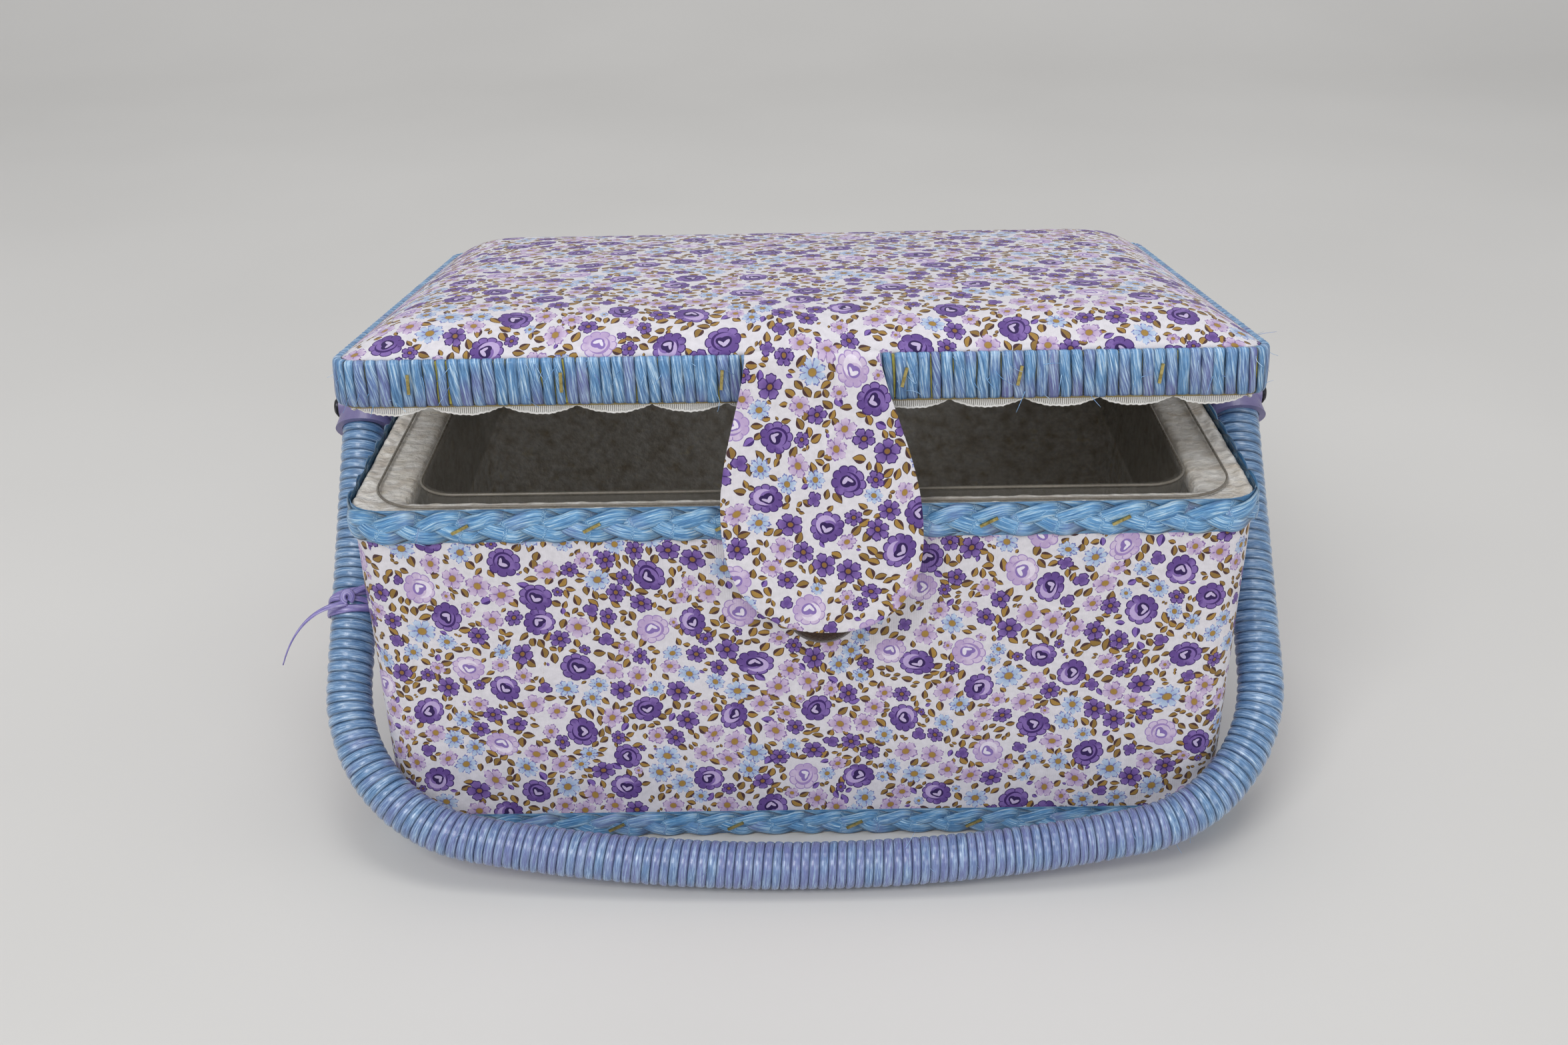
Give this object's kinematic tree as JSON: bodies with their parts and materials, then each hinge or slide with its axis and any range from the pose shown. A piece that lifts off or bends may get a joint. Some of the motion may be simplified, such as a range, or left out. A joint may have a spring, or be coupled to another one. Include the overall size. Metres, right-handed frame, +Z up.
{
  "type": "fabric-covered sewing box",
  "caption": "Rectangular fabric-covered sewing box with a padded hinged lid, closing flap, lift-in tray and a wound swing handle.",
  "frame": {"origin": "centre of the base's resting face, on the surface that the box stands on", "axes": "+X to the box's right seen from the front, -Y towards the front where the flap and the lowered handle are, +Z up"},
  "size_m": [0.358, 0.2519, 0.1877],
  "materials": {
    "base_board": "grey-brown strawboard",
    "box_shell": "strawboard",
    "body_cover": "white cotton with a small purple, lilac and pale-blue flower print",
    "base_braid": "plaited blue raffia",
    "base_staples": "brassed wire staples",
    "rim_braid": "plaited blue raffia",
    "rim_staples": "brassed wire staples",
    "wall_lining": "cream puckered lining, aged",
    "floor_lining": "cream padded panel, aged",
    "rim_roll": "cream padded and puckered roll, stained",
    "tray": "clear moulded plastic",
    "body_patch": "dark brown hook-and-loop disc",
    "box_hinge_leaves": "brassed steel",
    "hinge_pins": "brassed steel",
    "box_rivets": "brassed",
    "pivot_screws": "black screws",
    "pivot_nuts": "plated steel",
    "lid_board": "strawboard",
    "lid_hoop": "olive fibre strip",
    "rim_winding": "blue raffia ribbon",
    "lid_staples": "brassed wire staples",
    "lid_pad": "soft wadding",
    "lid_cover": "white cotton with a small purple, lilac and pale-blue flower print",
    "lid_lining": "cream padded lining, aged",
    "lid_lace": "white crocheted cotton edging",
    "lid_hinge_leaves": "brassed steel",
    "lid_rivets": "brassed",
    "flap_root": "printed cotton",
    "flap": "stiffened printed cotton, edge-stitched",
    "flap_patch": "dark brown hook-and-loop disc",
    "handle_core": "fibre core",
    "handle_winding": "satin blue raffia ribbon",
    "left_socket": "lilac plastic",
    "right_socket": "lilac plastic",
    "handle_tie": "purple raffia"
  },
  "bodies": {
    "box": {"base_board": "base_board", "box_shell": "box_shell", "body_cover": "body_cover", "base_braid": "base_braid", "base_staples": "base_staples", "rim_braid": "rim_braid", "rim_staples": "rim_staples", "wall_lining": "wall_lining", "floor_lining": "floor_lining", "rim_roll": "rim_roll", "tray": "tray", "body_patch": "body_patch", "box_hinge_leaves": "box_hinge_leaves", "hinge_pins": "hinge_pins", "box_rivets": "box_rivets", "pivot_screws": "pivot_screws", "pivot_nuts": "pivot_nuts"},
    "lid": {"lid_board": "lid_board", "lid_hoop": "lid_hoop", "rim_winding": "rim_winding", "lid_staples": "lid_staples", "lid_pad": "lid_pad", "lid_cover": "lid_cover", "lid_lining": "lid_lining", "lid_lace": "lid_lace", "lid_hinge_leaves": "lid_hinge_leaves", "lid_rivets": "lid_rivets", "flap_root": "flap_root"},
    "flap": {"flap": "flap", "flap_patch": "flap_patch"},
    "handle": {"handle_core": "handle_core", "handle_winding": "handle_winding", "left_socket": "left_socket", "right_socket": "right_socket", "handle_tie": "handle_tie"}
  },
  "joints": [
    {"name": "lid_hinge", "type": "hinge", "parent": "box", "child": "lid", "pos_m": [0, 0.1096, 0.1368], "axis": [-1, 0, 0], "range_deg": [-8.2, 92]},
    {"name": "flap_fold", "type": "hinge", "parent": "lid", "child": "flap", "pos_m": [0, -0.10577, 0.18643], "axis": [-1, 0, 0], "range_deg": [0, 110]},
    {"name": "handle_swing", "type": "hinge", "parent": "box", "child": "handle", "pos_m": [0, 0, 0.127], "axis": [-1, 0, 0], "range_deg": [0, 263.7]}
  ]
}
